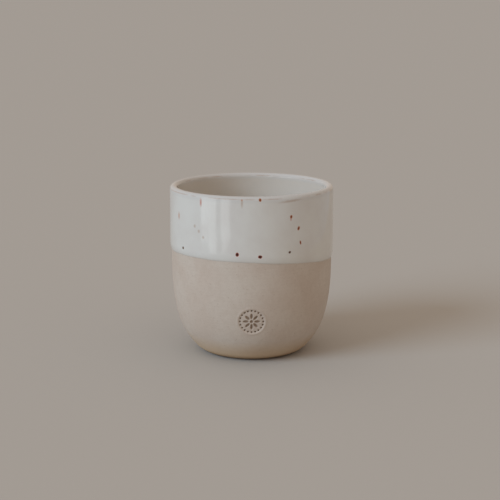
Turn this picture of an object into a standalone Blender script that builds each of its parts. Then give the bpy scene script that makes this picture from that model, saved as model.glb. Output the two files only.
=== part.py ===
"""Espresso cup without a handle, in metres, +Z up.

One stoneware body carries two coats of glaze: a liner that was poured inside it, and a band over the
lip and the upper wall, where the cup was dipped upside down and a little askew. The origin is on the
turning axis, in the plane that the foot stands on, and the stamp in the bare clay faces -Y.
"""

import math

import bmesh
import bpy
from mathutils import Matrix, Vector
from mathutils.geometry import interpolate_bezier

# Outside of the clay
CUP_HEIGHT = 0.0637  # standing plane to the crest of the glazed lip
LIP_RADIUS = 0.0303  # outside of the clay lip
BELLY_RADIUS = 0.0304  # outside of the clay where it is widest
BELLY_HEIGHT = 0.0340  # where it is widest
BELLY_REACH = 0.0220  # how far below that the wall still runs nearly upright
FOOT_RADIUS = 0.0198  # corner where the wall would meet the standing plane
FOOT_REACH = 0.0046  # how far the wall keeps its first slope above the foot
FOOT_SLOPE = math.radians(51.7)  # that slope, from the standing plane
FOOT_ROUNDING = 0.0080  # rounded corner of the foot
FOOT_RING = 0.0047  # width of the flat ring that the cup stands on
RECESS_DEPTH = 0.0008  # shallow hollow inside that ring, with a sloping edge

# Thickness of the clay
LIP_WALL = 0.0017
BELLY_WALL = 0.0030
HEEL_WALL = 0.0038  # sideways, where the wall turns into the floor
FLOOR_WALL = 0.0040
FLOOR_CORNER = 0.0099  # how far inside the foot's corner the flat of the floor ends

# Glaze
GLAZE = 0.0003  # thickness of a coat
FIT_GAP = 0.0003  # clearance between a coat and the clay, and between the two coats
DIP_DEPTH = 0.0261  # crest of the lip to the edge of the dipped band, on the turning axis
DIP_FALL_RIGHT = math.radians(2.8)  # the edge is lower on the +X side
DIP_FALL_BACK = math.radians(3.6)  # and lower at the back, on the +Y side
DIP_SPARE = 0.0010  # length that the band is made too long before its edge is cut

# Stamp in the bare clay: a daisy in a ring of beads
STAMP_HEIGHT = 0.0176
STAMP_DEPTH = 0.0005
PETALS = 8
PETAL_LENGTH = 0.0022
PETAL_WIDTH = 0.0010
PETAL_RING = 0.0021  # radius at the middle of the petals
EYE_WIDTH = 0.0012
BEADS = 20
BEAD_WIDTH = 0.0007
BEAD_RING = 0.0043

# Finishes: linear colour, then roughness
STONEWARE = (0.45, 0.38, 0.31), 0.85
WHITE_GLAZE = (0.68, 0.67, 0.64), 0.12

# Fineness of the faces
TURN_STEPS = 48
CURVE_POINTS = 9
WALL_POINTS = 4
LIP_POINTS = 7
ROUNDING_POINTS = 7
MARK_SEGMENTS = 8
MARK_RINGS = 6
MERGE_DISTANCE = 0.00001
SHARP_ANGLE = math.radians(40)

COAT = FIT_GAP + GLAZE
LIP_ROUNDING = LIP_WALL / 2
LIP_HEIGHT = CUP_HEIGHT - COAT - LIP_ROUNDING  # centre of the rounded clay lip
DIP_HEIGHT = CUP_HEIGHT - DIP_DEPTH
FLOOR_HEIGHT = RECESS_DEPTH + FLOOR_WALL
FOOT_SETBACK = FOOT_ROUNDING * math.tan(FOOT_SLOPE / 2)  # sharp corner to the start of its rounding


def curve(start, start_handle, end_handle, end, points):
    """A smooth curve between two points of the section, given as (radius, height)."""
    knots = [Vector(point) for point in (start, start_handle, end_handle, end)]
    return list(interpolate_bezier(*knots, points))


def arc(centre, radius, start, end, points):
    """Points on an arc of the section, between two angles from the +radius direction."""
    angles = [start + (end - start) * i / (points - 1) for i in range(points)]
    return [Vector(centre) + radius * Vector((math.cos(a), math.sin(a))) for a in angles]


def upright(start, end, points):
    """A nearly straight stretch of wall that leaves both its ends upright."""
    third = (end[1] - start[1]) / 3
    return curve(start, (start[0], start[1] + third), (end[0], end[1] - third), end, points)


def cavity_wall():
    """Inner face of the clay, from the middle of the floor up to the lip."""
    flat_end = (FOOT_RADIUS - FLOOR_CORNER, FLOOR_HEIGHT)
    heel = (FOOT_RADIUS + FOOT_REACH * math.cos(FOOT_SLOPE) - HEEL_WALL, FLOOR_HEIGHT)
    belly = (BELLY_RADIUS - BELLY_WALL, BELLY_HEIGHT)
    below_belly = (belly[0], BELLY_HEIGHT - BELLY_REACH)
    lip = (LIP_RADIUS - LIP_WALL, LIP_HEIGHT)
    bottom = curve(flat_end, heel, below_belly, belly, CURVE_POINTS)
    return [Vector((0, FLOOR_HEIGHT))] + bottom + upright(belly, lip, WALL_POINTS)[1:]


def lip_crest():
    """Rounded top of the clay, from its inner to its outer edge."""
    centre = (LIP_RADIUS - LIP_ROUNDING, LIP_HEIGHT)
    return arc(centre, LIP_ROUNDING, math.pi, 0, LIP_POINTS)


def outer_wall():
    """Outer face of the clay, from the lip down to the rounding of the foot."""
    lip = (LIP_RADIUS, LIP_HEIGHT)
    belly = (BELLY_RADIUS, BELLY_HEIGHT)
    below_belly = (BELLY_RADIUS, BELLY_HEIGHT - BELLY_REACH)
    slope = Vector((math.cos(FOOT_SLOPE), math.sin(FOOT_SLOPE)))
    foot = Vector((FOOT_RADIUS, 0)) + slope * FOOT_SETBACK
    bottom = curve(belly, below_belly, foot + slope * FOOT_REACH, foot, CURVE_POINTS)
    return upright(lip, belly, WALL_POINTS) + bottom[1:]


def foot_and_recess():
    """Underside of the clay, from the foot's rounding to the axis."""
    standing = FOOT_RADIUS - FOOT_SETBACK
    down = -math.pi / 2
    rounding = arc((standing, FOOT_ROUNDING), FOOT_ROUNDING, down + FOOT_SLOPE, down, ROUNDING_POINTS)
    ring_edge = Vector((standing - FOOT_RING, 0))
    recess_edge = ring_edge + Vector((-RECESS_DEPTH, RECESS_DEPTH))
    return rounding + [ring_edge, recess_edge, Vector((0, RECESS_DEPTH))]


def raised(line, distance):
    """The line that runs beside this one, that far out of the clay."""
    steps = [(b - a).normalized() for a, b in zip(line, line[1:])]
    normals = [Vector((-step.y, step.x)) for step in steps]
    moved = []
    for point, before, after in zip(line, normals[:1] + normals, normals + normals[-1:]):
        middle = (before + after).normalized()
        moved.append(point + middle * (distance / middle.dot(before)))
    return moved


def above(line, height):
    """The part of a falling line that lies above this height, ending on it."""
    kept = [line[0]]
    for a, b in zip(line, line[1:]):
        if b.y < height:
            kept.append(a.lerp(b, (a.y - height) / (a.y - b.y)))
            break
        kept.append(b)
    return kept


def named_collection(name):
    """A new collection in the scene."""
    made = bpy.data.collections.new(name)
    bpy.context.scene.collection.children.link(made)
    return made


def surface(name, colour, roughness):
    """A plain finish without metal."""
    material = bpy.data.materials.new(name)
    material.use_nodes = True
    shader = material.node_tree.nodes["Principled BSDF"]
    shader.inputs["Base Color"].default_value = (*colour, 1)
    shader.inputs["Roughness"].default_value = roughness
    shader.inputs["Metallic"].default_value = 0
    return material


def turned(name, profile, material, closed=False):
    """A piece turned round the Z axis from its section."""
    count = len(profile)
    edges = [(i, (i + 1) % count) for i in range(count if closed else count - 1)]
    mesh = bpy.data.meshes.new(name)
    mesh.from_pydata([(point.x, 0, point.y) for point in profile], edges, [])
    mesh.materials.append(material)
    piece = bpy.data.objects.new(name, mesh)
    cup.objects.link(piece)
    screw = piece.modifiers.new("turn", "SCREW")
    screw.steps = TURN_STEPS
    screw.render_steps = TURN_STEPS
    screw.use_merge_vertices = True
    screw.merge_threshold = MERGE_DISTANCE
    return piece


def cutter(name, shape, collection):
    """An object that only cuts, from a finished bmesh."""
    mesh = bpy.data.meshes.new(name)
    shape.to_mesh(mesh)
    shape.free()
    made = bpy.data.objects.new(name, mesh)
    made.display_type = "WIRE"
    made.hide_render = True
    collection.objects.link(made)
    return made


def finish(piece):
    """Makes the modifiers into mesh, shaded smooth except over sharp edges."""
    graph = bpy.context.evaluated_depsgraph_get()
    piece.data = bpy.data.meshes.new_from_object(piece.evaluated_get(graph))
    piece.modifiers.clear()
    piece.data.shade_smooth()
    piece.data.set_sharp_from_angle(angle=SHARP_ANGLE)


def dimple(name, across, up, length, width, turn):
    """A cutter for one dimple of the stamp, placed on the wall from the stamp's middle."""
    wall = outer_wall()
    height = STAMP_HEIGHT + up
    low, high = next((b, a) for a, b in zip(wall, wall[1:]) if b.y <= height)
    spot = low.lerp(high, (height - low.y) / (high.y - low.y))
    lean = math.atan2(high.x - low.x, high.y - low.y)
    round_axis = Matrix.Rotation(across / spot.x, 4, "Z")
    to_wall = Matrix.Translation((0, -spot.x, spot.y)) @ Matrix.Rotation(math.pi / 2 + lean, 4, "X")
    in_wall = Matrix.Rotation(turn, 4, "Z") @ Matrix.Diagonal((length / 2, width / 2, STAMP_DEPTH, 1))
    place = round_axis @ to_wall @ in_wall
    ball = bmesh.new()
    bmesh.ops.create_uvsphere(ball, u_segments=MARK_SEGMENTS, v_segments=MARK_RINGS, radius=1, matrix=place)
    cutter(name, ball, stamp)


def press_stamp(body):
    """Presses the daisy and its beads into the bare clay."""
    dimple("eye", 0, 0, EYE_WIDTH, EYE_WIDTH, 0)
    marks = (
        ("petal", PETALS, PETAL_RING, PETAL_LENGTH, PETAL_WIDTH),
        ("bead", BEADS, BEAD_RING, BEAD_WIDTH, BEAD_WIDTH),
    )
    for name, count, ring, length, width in marks:
        for i in range(count):
            turn = math.tau * i / count
            dimple(f"{name}_{i + 1}", ring * math.cos(turn), ring * math.sin(turn), length, width, turn)
    press = body.modifiers.new("stamp", "BOOLEAN")
    press.operand_type = "COLLECTION"
    press.collection = stamp


def cut_dip_edge(band):
    """Cuts the band off along the tilted line that the dipping left."""
    side = 2 * (CUP_HEIGHT + BELLY_RADIUS)
    tilt = Matrix.Rotation(DIP_FALL_RIGHT, 4, "Y") @ Matrix.Rotation(-DIP_FALL_BACK, 4, "X")
    below_dip = Matrix.Translation((0, 0, DIP_HEIGHT)) @ tilt @ Matrix.Translation((0, 0, -side / 2))
    block = bmesh.new()
    bmesh.ops.create_cube(block, size=side, matrix=below_dip)
    cut = band.modifiers.new("dip edge", "BOOLEAN")
    cut.object = cutter("dip_cutter", block, cutters)


def make_body():
    """The stoneware body: floor, wall, lip and foot in one piece of clay."""
    section = cavity_wall() + lip_crest()[1:] + outer_wall()[1:] + foot_and_recess()[1:]
    body = turned("stoneware_body", section, surface("bare_stoneware", *STONEWARE))
    press_stamp(body)
    return body


def make_liner():
    """The coat inside, which ends just under the lip."""
    clay = cavity_wall()
    clay[-1] = clay[-1] - Vector((0, FIT_GAP))
    section = raised(clay, COAT) + raised(clay, FIT_GAP)[::-1]
    return turned("liner_glaze", section, surface("poured_white_glaze", *WHITE_GLAZE))


def make_band():
    """The coat over the lip and down the outside, to the dip line."""
    fall = math.hypot(math.tan(DIP_FALL_RIGHT), math.tan(DIP_FALL_BACK)) * (BELLY_RADIUS + COAT)
    clay = lip_crest() + above(outer_wall(), DIP_HEIGHT - fall - DIP_SPARE)[1:]
    section = raised(clay, COAT) + raised(clay, FIT_GAP)[::-1]
    band = turned("band_glaze", section, surface("dipped_white_glaze", *WHITE_GLAZE), closed=True)
    cut_dip_edge(band)
    return band


for old in list(bpy.data.objects):
    bpy.data.objects.remove(old)
cup = named_collection("espresso_cup")
cutters = named_collection("cutters")
stamp = named_collection("stamp_cutters")

for piece in (make_body(), make_liner(), make_band()):
    finish(piece)
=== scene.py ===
"""Espresso cup without a handle: bare stoneware below, white glaze over its lip and inside."""

import math

import bpy
import numpy as np
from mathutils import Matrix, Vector, noise
from mathutils.geometry import interpolate_bezier


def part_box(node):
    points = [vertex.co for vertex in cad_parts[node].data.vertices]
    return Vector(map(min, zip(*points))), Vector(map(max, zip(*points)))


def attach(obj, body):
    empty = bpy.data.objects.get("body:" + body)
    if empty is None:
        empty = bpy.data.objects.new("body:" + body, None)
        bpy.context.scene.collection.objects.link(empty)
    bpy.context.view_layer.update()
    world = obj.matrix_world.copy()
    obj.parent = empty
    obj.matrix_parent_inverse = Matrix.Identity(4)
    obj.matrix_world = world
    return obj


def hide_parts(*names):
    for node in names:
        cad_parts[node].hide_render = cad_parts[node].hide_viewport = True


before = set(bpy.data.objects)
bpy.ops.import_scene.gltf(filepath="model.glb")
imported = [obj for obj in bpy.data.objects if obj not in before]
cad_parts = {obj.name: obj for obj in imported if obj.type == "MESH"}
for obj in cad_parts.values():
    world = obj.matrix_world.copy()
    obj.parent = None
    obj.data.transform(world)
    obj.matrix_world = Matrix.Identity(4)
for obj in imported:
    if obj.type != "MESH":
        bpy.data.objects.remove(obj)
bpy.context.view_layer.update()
bpy.context.scene.view_settings.view_transform = "Standard"

# Stoneware body
# One piece of pale stoneware, shaped on the wheel and turned smooth at the foot. Only its lower wall and
# its underside stay bare, and a small round die was pressed into the wall while the clay was soft.

# A reach is the length of a curve's handle: how far the wall runs on in one direction before it bends.
MM = 0.001
clay_low, clay_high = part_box("stoneware_body")
CLAY_TOP = clay_high.z
BELLY_RADIUS = clay_high.x
BELLY_HEIGHT = 34.0 * MM
BELLY_REACH = 22.0 * MM
BELLY_WALL = 3.0 * MM
LIP_RADIUS = 30.3 * MM
LIP_WALL = 1.7 * MM
LIP_HEIGHT = CLAY_TOP - LIP_WALL / 2
LIP_POINTS = 13
FOOT_RADIUS = 19.8 * MM
FOOT_REACH = 4.6 * MM
FOOT_SLOPE = math.radians(51.7)
FOOT_ROUNDING = 8.0 * MM
FOOT_POINTS = 15
FOOT_RING = 4.7 * MM
RECESS_DEPTH = 0.8 * MM
FLOOR_HEIGHT = 4.8 * MM
FLOOR_CORNER = 9.9 * MM
HEEL_WALL = 3.8 * MM
SECTION_STEP = 0.9 * MM
TURN_STEPS = 192
WELD = 0.001 * MM
CREASE = math.radians(40)


def curve(start, start_handle, end_handle, end, step=SECTION_STEP):
    """Points on a smooth curve of the half section, about one step apart."""
    knots = [Vector(point) for point in (start, start_handle, end_handle, end)]
    length = sum((b - a).length for a, b in zip(knots, knots[1:]))
    return interpolate_bezier(*knots, max(3, round(length / step)))


def arc(centre, radius, start, end, points):
    """Points on an arc of the half section, between two angles from the +radius direction."""
    angles = np.linspace(start, end, points)
    return [Vector(centre) + radius * Vector((math.cos(a), math.sin(a))) for a in angles]


def line(start, end):
    """A straight stretch of the half section, with points about one step apart."""
    start, end = Vector(start), Vector(end)
    count = max(2, round((end - start).length / SECTION_STEP))
    return [start.lerp(end, i / count) for i in range(count + 1)]


# The half section is drawn from the middle of the floor, up the inside, over the lip and down to the foot.
belly_inside = BELLY_RADIUS - BELLY_WALL
below_belly = BELLY_HEIGHT - BELLY_REACH
lip_inside = LIP_RADIUS - LIP_WALL
lip_middle = LIP_RADIUS - LIP_WALL / 2
third = (LIP_HEIGHT - BELLY_HEIGHT) / 3
slope = Vector((math.cos(FOOT_SLOPE), math.sin(FOOT_SLOPE)))
setback = FOOT_ROUNDING * math.tan(FOOT_SLOPE / 2)
standing = FOOT_RADIUS - setback
wall_foot = Vector((FOOT_RADIUS, 0)) + slope * setback
flat_end = FOOT_RADIUS - FLOOR_CORNER
heel = FOOT_RADIUS + FOOT_REACH * slope.x - HEEL_WALL

cavity = line((0, FLOOR_HEIGHT), (flat_end, FLOOR_HEIGHT))
cavity += curve(
    (flat_end, FLOOR_HEIGHT),
    (heel, FLOOR_HEIGHT),
    (belly_inside, below_belly),
    (belly_inside, BELLY_HEIGHT),
)[1:]
cavity += curve(
    (belly_inside, BELLY_HEIGHT),
    (belly_inside, BELLY_HEIGHT + third),
    (lip_inside, LIP_HEIGHT - third),
    (lip_inside, LIP_HEIGHT),
)[1:]
lip = arc((lip_middle, LIP_HEIGHT), LIP_WALL / 2, math.pi, 0, LIP_POINTS)
wall = curve(
    (LIP_RADIUS, LIP_HEIGHT),
    (LIP_RADIUS, LIP_HEIGHT - third),
    (BELLY_RADIUS, BELLY_HEIGHT + third),
    (BELLY_RADIUS, BELLY_HEIGHT),
)
lower_wall = (
    (BELLY_RADIUS, BELLY_HEIGHT),
    (BELLY_RADIUS, below_belly),
    wall_foot + slope * FOOT_REACH,
    wall_foot,
)
wall += curve(*lower_wall)[1:]
foot = arc((standing, FOOT_ROUNDING), FOOT_ROUNDING, FOOT_SLOPE - math.pi / 2, -math.pi / 2, FOOT_POINTS)
foot += line((standing, 0), (standing - FOOT_RING, 0))[1:]
foot += line((standing - FOOT_RING - RECESS_DEPTH, RECESS_DEPTH), (0, RECESS_DEPTH))


def throw(name, section):
    """Draws a half section edge by edge and spins it round the Z axis, as on a wheel."""
    bpy.ops.object.select_all(action="DESELECT")
    bpy.ops.mesh.primitive_plane_add(size=MM, location=(section[0].x, 0, section[0].y))
    bpy.ops.object.transform_apply()
    piece = bpy.context.object
    piece.name = piece.data.name = name
    bpy.ops.object.mode_set(mode="EDIT")
    bpy.ops.mesh.merge(type="CENTER")
    for here, there in zip(section, section[1:]):
        step = there - here
        bpy.ops.mesh.extrude_region_move(TRANSFORM_OT_translate={"value": (step.x, 0, step.y)})
    bpy.ops.mesh.select_all(action="SELECT")
    bpy.ops.mesh.spin(steps=TURN_STEPS, angle=math.tau, center=(0, 0, 0), axis=(0, 0, 1))
    bpy.ops.mesh.select_all(action="SELECT")
    bpy.ops.mesh.remove_doubles(threshold=WELD)
    bpy.ops.mesh.normals_make_consistent(inside=False)
    bpy.ops.object.mode_set(mode="OBJECT")
    return piece


body = throw("stoneware_cup", cavity + lip[1:] + wall[1:] + foot[1:])

# The die: a daisy of eight petals in a ring of beads, on a disc that sank a little as a whole. A mark is
# deepest up to MARK_FLOOR of the way out to its edge, and comes up to the clay again at MARK_LIP.
STAMP_HEIGHT = 17.6 * MM
STAMP_DEPTH = 0.45 * MM
DISC_RADIUS = 5.0 * MM
DISC_DEPTH = 0.22 * MM
DISC_EDGE = 0.6 * MM
RIM_HEIGHT = 0.08 * MM
RIM_WIDTH = 0.6 * MM
EYE = 1.2 * MM
PETALS, PETAL_RING, PETAL_LENGTH, PETAL_WIDTH = 8, 2.1 * MM, 2.2 * MM, 1.0 * MM
BEADS, BEAD_RING, BEAD = 20, 4.3 * MM, 0.7 * MM
MARK_FLOOR = 0.6
MARK_LIP = 1.2
PATCH = 6.6 * MM
PATCH_CUTS = 9
WALL_SPARE = 0.5 * MM
FINE_STEP = 0.02 * MM

fine_wall = curve(*lower_wall, FINE_STEP)[::-1]
fine_wall += [point for point in wall[::-1] if point.y > BELLY_HEIGHT]


def wall_radius(height):
    """Radius of the clay's outer face at these heights."""
    return np.interp(height, [p.y for p in fine_wall], [p.x for p in fine_wall])


def on_patch(points):
    """Which points lie on the outer wall, round the stamp."""
    radius = np.hypot(points[:, 0], points[:, 1])
    near = (np.abs(points[:, 0]) < PATCH) & (np.abs(points[:, 2] - STAMP_HEIGHT) < PATCH)
    return near & (points[:, 1] < 0) & (radius > wall_radius(points[:, 2]) - WALL_SPARE)


def places(piece):
    """The piece's points as an array that can be changed."""
    found = np.empty(len(piece.data.vertices) * 3)
    piece.data.vertices.foreach_get("co", found)
    return found.reshape(-1, 3)


def move_to(piece, points):
    """Puts the piece's points at these places."""
    piece.data.vertices.foreach_set("co", points.ravel())
    piece.data.update()


def smooth(share):
    """Eases a value from 0 to 1, and holds it outside that."""
    share = np.clip(share, 0, 1)
    return share * share * (3 - 2 * share)


# The wall round the die gets a finer mesh, and its points are then pushed in.
centres = np.empty(len(body.data.polygons) * 3)
body.data.polygons.foreach_get("center", centres)
bpy.ops.object.mode_set(mode="EDIT")
bpy.ops.mesh.select_mode(type="FACE")
bpy.ops.mesh.select_all(action="DESELECT")
bpy.ops.object.mode_set(mode="OBJECT")
body.data.polygons.foreach_set("select", on_patch(centres.reshape(-1, 3)))
bpy.ops.object.mode_set(mode="EDIT")
bpy.ops.mesh.subdivide(number_cuts=PATCH_CUTS, ngon=False)
bpy.ops.mesh.select_mode(type="VERT")
bpy.ops.object.mode_set(mode="OBJECT")

points = places(body)
patch = on_patch(points)
x, y, z = points[patch].T
angle = np.arctan2(x, -y)
radius = wall_radius(z)
lean = math.atan2(wall_radius(STAMP_HEIGHT + MM) - wall_radius(STAMP_HEIGHT - MM), 2 * MM)
across = angle * radius
up = (z - STAMP_HEIGHT) / math.cos(lean)


def dimple(middle_across, middle_up, length, width, turn):
    """How deep one mark of the die sank at each point, from 0 to 1."""
    along = (across - middle_across) * math.cos(turn) + (up - middle_up) * math.sin(turn)
    aside = (up - middle_up) * math.cos(turn) - (across - middle_across) * math.sin(turn)
    way_out = np.hypot(along / (length / 2), aside / (width / 2))
    return smooth((MARK_LIP - way_out) / (MARK_LIP - MARK_FLOOR))


marks = dimple(0, 0, EYE, EYE, 0)
for count, ring, length, width in (
    (PETALS, PETAL_RING, PETAL_LENGTH, PETAL_WIDTH),
    (BEADS, BEAD_RING, BEAD, BEAD),
):
    for turn in np.arange(count) * math.tau / count:
        mark = dimple(ring * math.cos(turn), ring * math.sin(turn), length, width, turn)
        marks = np.maximum(marks, mark)
from_middle = np.hypot(across, up)
disc = smooth((DISC_RADIUS - from_middle) / DISC_EDGE)
rim = smooth(1 - np.abs(from_middle - DISC_RADIUS - RIM_WIDTH / 2) / RIM_WIDTH)
radius = radius - STAMP_DEPTH * marks - DISC_DEPTH * disc + RIM_HEIGHT * rim
points[patch] = np.stack([radius * np.sin(angle), -radius * np.cos(angle), z], 1)
move_to(body, points)
bpy.ops.object.shade_smooth_by_angle(angle=CREASE)

pressed = np.zeros(len(points))
pressed[patch] = marks
body.data.attributes.new("pressed", "FLOAT", "POINT").data.foreach_set("value", pressed)


def linear(hex_colour):
    """An sRGB hex value as a linear colour."""
    channels = [int(hex_colour[i : i + 2], 16) / 255 for i in (1, 3, 5)]
    return [c / 12.92 if c <= 0.04045 else ((c + 0.055) / 1.055) ** 2.4 for c in channels] + [1]


def add(tree, kind, inputs=None, take=None, **settings):
    """Adds a node with its settings and inputs, and returns the output named in take, or its first one.

    Each input is a value or another node's output, under the name or the number of its socket. Sockets
    that the settings switch off don't count.
    """
    made = tree.nodes.new(kind)
    for name, value in settings.items():
        setattr(made, name, value)
    sockets = [socket for socket in made.inputs if socket.enabled]
    for name, value in (inputs or {}).items():
        socket = next(socket for i, socket in enumerate(sockets) if name in (i, socket.name))
        if isinstance(value, bpy.types.NodeSocket):
            tree.links.new(value, socket)
        else:
            socket.default_value = value
    return made.outputs[take] if take else next(socket for socket in made.outputs if socket.enabled)


def new_finish(piece, name):
    """Gives the piece a new material, and returns its node tree and its shader."""
    material = bpy.data.materials.new(name)
    material.use_nodes = True
    piece.data.materials.append(material)
    return material.node_tree, material.node_tree.nodes["Principled BSDF"]


# Bare stoneware, fired without glaze: matt and dry, sandy at close range, faintly clouded, with level lines
# from turning, drawn wider apart than a tool leaves them so that they show. It is painted warmer and darker
# towards the foot as painted warm shade, darker still at its lowest edge as a painted contact shadow, and
# darker in the stamp's marks, partly with clay dust and partly with painted shade in the recesses.
CLAY = linear("#CAC0B5")
CLAY_WARM = linear("#C5B8AC")
# Painted warm shade towards the foot, standing in for light bounced from the floor.
CLAY_PAINTED_FOOT_SHADE = linear("#C9AE8B")
# Painted contact shadow along the lowest edge of the foot and its underside.
CLAY_PAINTED_CONTACT_SHADE = linear("#A5876A")
# Clay dust and painted shade in the stamp's recesses.
CLAY_DUST_AND_SHADE = linear("#6E5236")
GRIT = linear("#9C8A77")
CLOUD_SIZE = 13 * MM
MOTTLE_SIZE = 1.6 * MM
MOTTLE_COVER = 0.1
GRAIN_SIZE = 0.35 * MM
GRAIN_HEIGHT = 0.09 * MM
GRAIN_COVER = 0.2
GRIT_SPACING = 1.9 * MM
GRIT_CORE = 0.076 * MM
GRIT_EDGE = 0.247 * MM
GRIT_COVER = 0.45
LINE_SPACING = 1.3 * MM
LINE_HEIGHT = 0.03 * MM
LINE_SHARE = 0.1
FOOT_SHADE_UP_TO = 9 * MM
CONTACT_SHADE_UP_TO = 2.2 * MM
DUST_AND_SHADE_COVER = 0.65

tree, shader = new_finish(body, "bare_fired_stoneware")
where = add(tree, "ShaderNodeTexCoord", take="Object")
height = add(tree, "ShaderNodeSeparateXYZ", {0: where}, take="Z")
cloud = add(tree, "ShaderNodeTexNoise", {"Vector": where, "Scale": 1 / CLOUD_SIZE, "Detail": 3})
mottle = add(tree, "ShaderNodeTexNoise", {"Vector": where, "Scale": 1 / MOTTLE_SIZE, "Detail": 2})
grain = add(
    tree,
    "ShaderNodeTexNoise",
    {"Vector": where, "Scale": 1 / GRAIN_SIZE, "Detail": 3, "Roughness": 0.6},
)
grit = add(tree, "ShaderNodeTexVoronoi", {"Vector": where, "Scale": 1 / GRIT_SPACING})

# Height and radius together make the turning lines level on the wall, and rings under the foot. At a scale
# of 1, Blender's wave repeats after a twentieth of a full turn in radians.
WAVE_PERIOD = math.tau / 20
flat = add(tree, "ShaderNodeVectorMath", {0: where, 1: (1, 1, 0)}, operation="MULTIPLY")
from_axis = add(tree, "ShaderNodeVectorMath", {0: flat}, operation="LENGTH")
outward = add(tree, "ShaderNodeCombineXYZ", {"Z": from_axis})
up_and_out = add(tree, "ShaderNodeVectorMath", {0: where, 1: outward}, operation="ADD")
lines = add(
    tree,
    "ShaderNodeTexWave",
    {"Vector": up_and_out, "Scale": WAVE_PERIOD / LINE_SPACING, "Distortion": 1.5, "Detail": 2},
    take="Fac",
    bands_direction="Z",
)

# How far each colour covers the ones before it. A noise keeps near 0.5, so its middle is spread out.
clouded = add(tree, "ShaderNodeMapRange", {"Value": cloud, "From Min": 0.35, "From Max": 0.65})
streaked = add(tree, "ShaderNodeMath", {0: lines, 1: LINE_SHARE, 2: mottle}, operation="MULTIPLY_ADD")
mottled = add(
    tree,
    "ShaderNodeMapRange",
    {"Value": streaked, "From Min": 0.35, "From Max": 0.75, "To Max": MOTTLE_COVER},
)
sandy = add(
    tree,
    "ShaderNodeMapRange",
    {"Value": grain, "From Min": 0.5, "From Max": 0.3, "To Max": GRAIN_COVER},
)
# Painted warm shade, fading in towards the foot.
painted_foot_shade = add(tree, "ShaderNodeMapRange", {"Value": height, "From Min": FOOT_SHADE_UP_TO, "From Max": 0})
# Painted contact shadow, strongest at the foot's lowest edge and on its underside.
painted_contact_shade = add(tree, "ShaderNodeMapRange", {"Value": height, "From Min": CONTACT_SHADE_UP_TO, "From Max": 0})
gritty = add(
    tree,
    "ShaderNodeMapRange",
    {
        "Value": grit,
        "From Min": GRIT_EDGE / GRIT_SPACING,
        "From Max": GRIT_CORE / GRIT_SPACING,
        "To Max": GRIT_COVER,
    },
)
# The marks' depth darkens the clay: partly clay dust, partly painted shade in the recesses.
stamped = add(tree, "ShaderNodeAttribute", take="Fac", attribute_name="pressed")
dust_and_shade = add(tree, "ShaderNodeMath", {0: stamped, 1: DUST_AND_SHADE_COVER}, operation="MULTIPLY")
colour = CLAY
for cover, tone in (
    (clouded, CLAY_WARM),
    (mottled, GRIT),
    (sandy, GRIT),
    (painted_foot_shade, CLAY_PAINTED_FOOT_SHADE),
    (painted_contact_shade, CLAY_PAINTED_CONTACT_SHADE),
    (gritty, GRIT),
    (dust_and_shade, CLAY_DUST_AND_SHADE),
):
    colour = add(tree, "ShaderNodeMix", {"Factor": cover, "A": colour, "B": tone}, data_type="RGBA")
tree.links.new(colour, shader.inputs["Base Color"])

dry = add(tree, "ShaderNodeMapRange", {"Value": grain, "To Min": 0.8, "To Max": 1})
tree.links.new(dry, shader.inputs["Roughness"])
sanded = add(tree, "ShaderNodeBump", {"Height": grain, "Strength": 0.6, "Distance": GRAIN_HEIGHT})
turned = add(
    tree,
    "ShaderNodeBump",
    {"Height": lines, "Strength": 0.25, "Distance": LINE_HEIGHT, "Normal": sanded},
)
tree.links.new(turned, shader.inputs["Normal"])
shader.inputs["IOR"].default_value = 1.45
shader.inputs["Specular IOR Level"].default_value = 0.2

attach(body, "root")
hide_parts("stoneware_body")

# Band of glaze
# The cup was dipped upside down in opaque white glaze, a little askew, so a coat runs over the lip and
# down to a tilted line with a soft bead. It melted onto the clay, and sits on it without a gap.

GLAZE_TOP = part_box("band_glaze")[1].z
COAT = GLAZE_TOP - CLAY_TOP
BEDDED = 0.1 * MM
SEAM_DEPTH = 4.0 * MM
DIP_HEIGHT = 37.6 * MM
DIP_FALL_RIGHT = math.tan(math.radians(2.8))
DIP_FALL_BACK = math.tan(math.radians(3.6))
DIP_HOLD = LIP_HEIGHT - 2 * MM
RUN_LENGTH = 2.4 * MM
RUN_LIFT = 0.1 * MM
RUN_STEP = 0.12 * MM
RIPPLE_SIZE = np.array((11, 11, 6)) * MM
RIPPLE_HEIGHT = 0.06 * MM
RIPPLE_FADE = 4 * MM

# Each wave of the dip line has its count round the cup, its height and its start in radians.
DIP_WAVES = ((3, 0.10 * MM, 1.0), (8, 0.07 * MM, 2.2), (17, 0.04 * MM, 0.5))


def raised(section, distance):
    """The line that runs beside this one, that far out of the clay."""
    steps = [(b - a).normalized() for a, b in zip(section, section[1:])]
    normals = [Vector((-step.y, step.x)) for step in steps]
    moved = []
    for point, before, after in zip(section, normals[:1] + normals, normals + normals[-1:]):
        middle = (before + after).normalized()
        moved.append(point + middle * (distance / middle.dot(before)))
    return moved


def ripple(piece):
    """Lets the melted coat swell and thin a little from place to place, but not at the lip."""
    points = places(piece)
    swell = np.array([noise.noise(point) for point in points / RIPPLE_SIZE]) * RIPPLE_HEIGHT
    swell *= smooth((CLAY_TOP - points[:, 2]) / RIPPLE_FADE)
    radius = np.maximum(np.hypot(points[:, 0], points[:, 1]), WELD)
    side = np.where(radius > lip_middle, 1, -1)
    points[:, :2] *= (1 + side * swell / radius)[:, None]
    move_to(piece, points)


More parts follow.
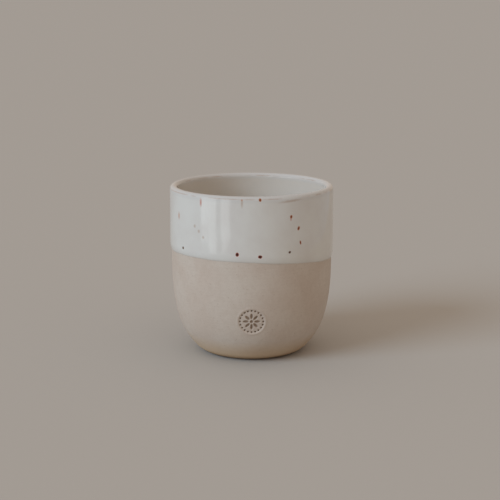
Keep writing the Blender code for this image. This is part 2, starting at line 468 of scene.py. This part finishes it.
glazed = cavity + lip[1:] + [point for point in wall[1:] if point.y > DIP_HEIGHT + RUN_LENGTH]
skin = raised(glazed, COAT)
bed = raised(glazed, -BEDDED)
seam = next(i for i, point in enumerate(cavity) if point.y > CLAY_TOP - SEAM_DEPTH)
at_dip = float(wall_radius(DIP_HEIGHT))
run = curve(
    skin[-1],
    skin[-1] - Vector((0, RUN_LENGTH / 2)),
    (at_dip + COAT / 2, DIP_HEIGHT + RUN_LIFT),
    (at_dip - BEDDED, DIP_HEIGHT),
    RUN_STEP,
)
band = throw("glaze_band", skin[seam:] + run[1:] + bed[seam:][::-1] + skin[seam : seam + 1])

# The level lower edge is drawn down or up to the tilted dip line, and the coat above it stretches along.
points = places(band)
x, y, z = points.T
angle = np.arctan2(x, -y)
radius = np.hypot(x, y)
wave = sum(height * np.sin(count * angle + start) for count, height, start in DIP_WAVES)
dip = DIP_HEIGHT - DIP_FALL_RIGHT * radius * np.sin(angle) + DIP_FALL_BACK * radius * np.cos(angle) + wave
drawn = DIP_HOLD - (DIP_HOLD - z) * (DIP_HOLD - dip) / (DIP_HOLD - DIP_HEIGHT)
drawn = np.where((z < DIP_HOLD) & (radius > lip_middle), drawn, z)
radius = radius + wall_radius(drawn) - wall_radius(z)
move_to(band, np.stack([radius * np.sin(angle), -radius * np.cos(angle), drawn], 1))
ripple(band)
bpy.ops.object.shade_smooth_by_angle(angle=CREASE)

# Opaque white stoneware glaze: smooth and glossy but not sharp, slightly clouded, painted darker and warmer
# inside as painted shade. Iron in the clay melted through it to rust and near-black specks, some with a run
# below. It thins over the lip, where it is also painted greyer as painted shade on the lip's top, and breaks
# to tan in places just under it.
GLAZE = linear("#D6D6D2")
GLAZE_THIN = linear("#D1CFCB")
# Painted shade: the glaze inside the cup is darker and warmer than the same glaze outside.
GLAZE_PAINTED_INSIDE_SHADE = linear("#D0CAC1")
# Thin glaze and painted shade on the lip's top: greyer and cooler than the glaze below.
GLAZE_LIP_THIN_AND_SHADE = linear("#C5C5C4")
GLAZE_BREAK = linear("#A78770")
IRON_DARK = linear("#260100")
IRON_RED = linear("#A03C10")
IRON_RUST = linear("#74381A")
IRON_OCHRE = linear("#B4682C")
IRON_BROWN = linear("#55320F")
IRON_RUN = linear("#B4604A")
IRON_FAINT = linear("#A58468")
GLAZE_CLOUD = 9 * MM
RAGGED_SIZE = 0.7 * MM
RAGGED_SHIFT = 0.3 * MM
LIP_THIN_AND_SHADE_REACH = 2.6 * MM
BREAK_DEPTH = 0.9 * MM
BREAK_WIDTH = 0.32 * MM
BREAK_PATCH = 5 * MM
BREAK_COVER = 0.5
EDGE_WIDTH = 0.6 * MM
EDGE_COVER = 0.45
STRAY_SPACING = 5.5 * MM
STRAY_CORE = 0.25 * MM
STRAY_EDGE = 0.55 * MM
STRAYS_BELOW = 34 * MM
GLOSS_THICK = 0.09
GLOSS_THIN = 0.13
GLOSS_MATT = 0.4
PEEL_SIZE = 2.5 * MM
PEEL_HEIGHT = 0.02 * MM
SPECK_SINK = 0.05 * MM

tree, shader = new_finish(band, "dipped_white_glaze")
white_glaze = band.active_material
where = add(tree, "ShaderNodeTexCoord", take="Object")
cloud = add(tree, "ShaderNodeTexNoise", {"Vector": where, "Scale": 1 / GLAZE_CLOUD, "Detail": 3})
clouded = add(tree, "ShaderNodeMapRange", {"Value": cloud, "From Min": 0.4, "From Max": 0.7})
flat = add(tree, "ShaderNodeVectorMath", {0: where, 1: (1, 1, 0)}, operation="MULTIPLY")
from_axis = add(tree, "ShaderNodeVectorMath", {0: flat}, operation="LENGTH")
outside = add(tree, "ShaderNodeMath", {0: from_axis, 1: LIP_RADIUS}, operation="GREATER_THAN")
# Where the inside's painted shade covers the glaze.
inside = add(
    tree,
    "ShaderNodeMapRange",
    {"Value": from_axis, "From Min": LIP_RADIUS, "From Max": lip_inside - COAT},
)

# Edges and specks come out ragged, because they are drawn on coordinates that a fine noise shifts about.
ragged = add(
    tree,
    "ShaderNodeTexNoise",
    {"Vector": where, "Scale": 1 / RAGGED_SIZE, "Detail": 3},
    take="Color",
)
either_way = add(tree, "ShaderNodeVectorMath", {0: ragged, 1: (0.5, 0.5, 0.5)}, operation="SUBTRACT")
shift = add(tree, "ShaderNodeVectorMath", {0: either_way, "Scale": RAGGED_SHIFT}, operation="SCALE")
shifted = add(tree, "ShaderNodeVectorMath", {0: where, 1: shift}, operation="ADD")

# Thin glaze over the lip, with painted shade on its top as well, thin glaze in broken patches just under it,
# and along the dip line.
height = add(tree, "ShaderNodeSeparateXYZ", {0: shifted}, take="Z")
# Thin glaze and painted shade over the lip.
thin = add(
    tree,
    "ShaderNodeMapRange",
    {"Value": height, "From Min": GLAZE_TOP - LIP_THIN_AND_SHADE_REACH, "From Max": GLAZE_TOP},
)
over_break = add(tree, "ShaderNodeMath", {0: height, 1: GLAZE_TOP - BREAK_DEPTH}, operation="SUBTRACT")
from_break = add(tree, "ShaderNodeMath", {0: over_break}, operation="ABSOLUTE")
patches = add(tree, "ShaderNodeTexNoise", {"Vector": where, "Scale": 1 / BREAK_PATCH, "Detail": 2})
patchy = add(
    tree,
    "ShaderNodeMapRange",
    {"Value": patches, "From Min": 0.45, "From Max": 0.65, "To Max": BREAK_COVER},
)
broken = add(
    tree,
    "ShaderNodeMapRange",
    {"Value": from_break, "From Min": BREAK_WIDTH, "From Max": 0, "To Max": patchy},
)
tilt = (DIP_FALL_RIGHT, DIP_FALL_BACK, 1)
over_dip = add(tree, "ShaderNodeVectorMath", {0: shifted, 1: tilt}, operation="DOT_PRODUCT")
near_dip = add(
    tree,
    "ShaderNodeMapRange",
    {"Value": over_dip, "From Min": DIP_HEIGHT + EDGE_WIDTH, "From Max": DIP_HEIGHT, "To Max": EDGE_COVER},
)
edge = add(tree, "ShaderNodeMath", {0: near_dip, 1: outside}, operation="MULTIPLY")

# Stray specks, on the outside of the back half and low down inside.
stray = add(tree, "ShaderNodeTexVoronoi", {"Vector": shifted, "Scale": 1 / STRAY_SPACING})
chance = stray.node.outputs["Color"]
backward = add(tree, "ShaderNodeSeparateXYZ", {0: where}, take="Y")
upward = backward.node.outputs["Z"]
behind = add(tree, "ShaderNodeMath", {0: backward, 1: 0}, operation="GREATER_THAN")
at_back = add(tree, "ShaderNodeMath", {0: behind, 1: outside}, operation="MULTIPLY")
low = add(tree, "ShaderNodeMath", {0: upward, 1: STRAYS_BELOW}, operation="LESS_THAN")
with_strays = add(tree, "ShaderNodeMath", {0: at_back, 1: low}, operation="MAXIMUM")
flecked = add(
    tree,
    "ShaderNodeMapRange",
    {
        "Value": stray,
        "From Min": STRAY_EDGE / STRAY_SPACING,
        "From Max": STRAY_CORE / STRAY_SPACING,
        "To Max": with_strays,
    },
)
iron = add(tree, "ShaderNodeMix", {"Factor": chance, "A": IRON_OCHRE, "B": IRON_DARK}, data_type="RGBA")

# The specks on the front. Each has its degrees round from the middle of the front, its height, width and
# length in mm, and its lean in degrees.
DARK_SPECKS = ((-9.6, 42.9, 1.3, 1.6, 10), (5.6, 42.1, 1.6, 1.3, 0))
BROWN_SPECKS = ((-54.2, 42.8, 1.2, 1.1, -30), (26.2, 43.2, 1.1, 1.0, 0))
RUST_SPECKS = (
    (34.6, 46.3, 0.7, 1.6, -15),
    (33.0, 51.6, 1.0, 1.6, 20),
    (27.2, 56.1, 1.0, 1.3, 10),
    (5.6, 62.7, 1.0, 1.3, 0),
)
RED_RUNS = ((-36.2, 60.9, 1.1, 3.2, 0), (27.0, 55.3, 0.6, 1.6, 0))
OCHRE_RUNS = ((-6.5, 62.6, 0.8, 0.8, 0), (-59.5, 54.4, 1.2, 3.0, 0))
FAINT_SPECKS = (
    (-41.7, 51.9, 1.1, 1.3, 0),
    (-38.0, 50.2, 1.1, 1.3, 0),
    (-34.4, 48.2, 1.0, 1.2, 0),
    (-6.4, 61.4, 0.9, 3.2, 0),
    (27.0, 61.8, 9.0, 0.9, -4),
)
glaze_radius = BELLY_RADIUS + COAT


def nearest(specks):
    """How far a point is from the nearest of these specks, where 1 is that speck's edge."""
    nearest_yet = None
    for turn, height, width, length, lean in specks:
        turn = math.radians(turn)
        own_place = {
            "Vector": shifted,
            "Location": (glaze_radius * math.sin(turn), -glaze_radius * math.cos(turn), height * MM),
            "Rotation": (0, math.radians(lean), turn),
            "Scale": (width * MM / 2, width * MM, length * MM / 2),
        }
        own = add(tree, "ShaderNodeMapping", own_place, vector_type="TEXTURE")
        away = add(tree, "ShaderNodeVectorMath", {0: own}, operation="LENGTH")
        if nearest_yet is not None:
            away = add(tree, "ShaderNodeMath", {0: nearest_yet, 1: away}, operation="MINIMUM")
        nearest_yet = away
    return nearest_yet


# The glaze's colours from the lowest up, each with how far it covers the ones before it. Each ring of a
# speck has its colour, its cover, and where it starts to fade and ends, as shares of the way from the
# speck's middle to its edge.
layers = [
    (clouded, GLAZE_THIN),
    (inside, GLAZE_PAINTED_INSIDE_SHADE),
    (thin, GLAZE_LIP_THIN_AND_SHADE),
    (broken, GLAZE_BREAK),
    (edge, CLAY),
    (flecked, iron),
]
matt = edge
for specks, rings in (
    (FAINT_SPECKS, [(IRON_FAINT, 0.5, 0.2, 1.3)]),
    (RED_RUNS, [(IRON_RUN, 0.8, 0.2, 1.2)]),
    (OCHRE_RUNS, [(IRON_OCHRE, 0.7, 0.2, 1.2)]),
    (RUST_SPECKS, [(IRON_OCHRE, 1.0, 0.8, 1.15), (IRON_RUST, 1.0, 0.45, 0.85)]),
    (BROWN_SPECKS, [(IRON_BROWN, 1.0, 0.7, 1.05)]),
    (DARK_SPECKS, [(IRON_RED, 1.0, 0.8, 1.05), (IRON_DARK, 1.0, 0.5, 0.8)]),
):
    away = nearest(specks)
    for tone, most, fades, ends in rings:
        cover = add(
            tree,
            "ShaderNodeMapRange",
            {"Value": away, "From Min": ends, "From Max": fades, "To Max": most},
        )
        layers.append((cover, tone))
        matt = add(tree, "ShaderNodeMath", {0: matt, 1: cover}, operation="MAXIMUM")
colour = GLAZE
for cover, tone in layers:
    colour = add(tree, "ShaderNodeMix", {"Factor": cover, "A": colour, "B": tone}, data_type="RGBA")
tree.links.new(colour, shader.inputs["Base Color"])

# The melted glass is smoothest where it is thick, and dull and a little sunk along the dip line and at the
# specks on the front.
gloss = add(tree, "ShaderNodeMapRange", {"Value": clouded, "To Min": GLOSS_THICK, "To Max": GLOSS_THIN})
dulled = add(tree, "ShaderNodeMix", {"Factor": matt, "A": gloss, "B": GLOSS_MATT}, data_type="FLOAT")
tree.links.new(dulled, shader.inputs["Roughness"])
peel = add(tree, "ShaderNodeTexNoise", {"Vector": where, "Scale": 1 / PEEL_SIZE, "Detail": 1})
peeled = add(tree, "ShaderNodeBump", {"Height": peel, "Strength": 0.15, "Distance": PEEL_HEIGHT})
sunk = add(
    tree,
    "ShaderNodeBump",
    {"Height": matt, "Strength": 0.3, "Distance": SPECK_SINK, "Normal": peeled},
    invert=True,
)
tree.links.new(sunk, shader.inputs["Normal"])
shader.inputs["IOR"].default_value = 1.52

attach(band, "root")
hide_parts("band_glaze")

# Liner of glaze
# The same glaze, poured in and out again, covers the floor and the inside wall. It runs into the band just
# under the lip, so no line shows there.

liner = throw("glaze_liner", skin[: seam + 1] + bed[: seam + 1][::-1])
ripple(liner)
bpy.ops.object.shade_smooth_by_angle(angle=CREASE)
liner.data.materials.append(white_glaze)

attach(liner, "root")
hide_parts("liner_glaze")

# Floor
# A plain pale matt surface that the cup stands on, wide enough to fill the view. It isn't part of the cup,
# and lies a hair lower than its foot, so that the two faces don't mix.

FLOOR = linear("#BDBAB5")
FLOOR_SIZE = 160
FLOOR_DROP = 0.02 * MM

bpy.ops.mesh.primitive_plane_add(size=FLOOR_SIZE, location=(0, 0, clay_low.z - FLOOR_DROP))
floor = bpy.context.object
floor.name = "floor"
tree, shader = new_finish(floor, "pale_matt_floor")
shader.inputs["Base Color"].default_value = FLOOR
shader.inputs["Roughness"].default_value = 0.95
shader.inputs["Specular IOR Level"].default_value = 0

# Light
# Soft daylight from the front left, warm light from all round, and panes of light that show only in the
# glaze: two tall ones on the left, each with a short one under it, and three dim ones over each other on the
# right, each narrower than the last, so that they fade out to their sides.

KEY_LEFT = math.radians(56.5)
KEY_HEIGHT = math.radians(26)
KEY_SIZE = math.radians(32)
KEY_STRENGTH = 1.7
KEY_COLOUR = (0.66, 0.83, 1.0)
ROOM_STRENGTH = 0.56
ROOM_COLOUR = (1.0, 0.84, 0.71, 1)

bpy.ops.object.light_add(type="SUN", rotation=(math.pi / 2 - KEY_HEIGHT, 0, -KEY_LEFT))
key = bpy.context.object
key.name = "daylight"
key.data.energy = KEY_STRENGTH
key.data.angle = KEY_SIZE
key.data.color = KEY_COLOUR
key.visible_glossy = False

world = bpy.data.worlds.new("room")
bpy.context.scene.world = world
world.use_nodes = True
sky = world.node_tree.nodes["Background"]
sky.inputs["Color"].default_value = ROOM_COLOUR
sky.inputs["Strength"].default_value = ROOM_STRENGTH

# Each pane has its two sides in degrees to the left of the front, its sill and top in mm, its glow and its
# colour. A lamp's power is its glow times pi times its area.
PANE_DISTANCE = 220 * MM
DAY = (0.95, 0.98, 1.0)
SHADE = (0.2, 0.5, 1.0)
PANES = (
    (28, 40, 10, 170, 1.4, DAY),
    (33, 38.5, 3, 10, 1.4, DAY),
    (46.5, 69.5, 10, 170, 1.4, DAY),
    (46.5, 57, 1, 10, 1.4, DAY),
    (-135, -30, 0, 170, 0.17, SHADE),
    (-120, -45, 0, 170, 0.17, SHADE),
    (-105, -60, 0, 170, 0.17, SHADE),
)
for start, end, sill, top, glow, pane_colour in PANES:
    middle = math.radians(start + end) / 2
    width = 2 * PANE_DISTANCE * math.tan(math.radians(end - start) / 2)
    height = (top - sill) * MM
    place = (-PANE_DISTANCE * math.sin(middle), -PANE_DISTANCE * math.cos(middle), (sill + top) / 2 * MM)
    bpy.ops.object.light_add(type="AREA", location=place, rotation=(math.pi / 2, 0, -middle))
    pane = bpy.context.object
    pane.name = "pane"
    pane.data.shape = "RECTANGLE"
    pane.data.size = width
    pane.data.size_y = height
    pane.data.energy = glow * math.pi * width * height
    pane.data.color = pane_colour
    pane.visible_diffuse = False
    pane.visible_camera = False

# Camera
# Where the photograph was taken from: close, a little above the lip, without roll. The focal length is
# given in pixels, for a picture as wide as the photograph.

CAMERA_DISTANCE = 450 * MM
CAMERA_HEIGHT = 133.5 * MM
CAMERA_LEFT = 0.6 * MM
CAMERA_TILT = math.radians(11.965)
FOCAL_PIXELS = 1201.8
PHOTO_WIDTH = 500

bpy.ops.object.camera_add(
    location=(-CAMERA_LEFT, -CAMERA_DISTANCE, CAMERA_HEIGHT),
    rotation=(math.pi / 2 - CAMERA_TILT, 0, 0),
)
camera = bpy.context.object
camera.data.lens = camera.data.sensor_width * FOCAL_PIXELS / PHOTO_WIDTH
camera.data.clip_start = 10 * MM
bpy.context.scene.camera = camera
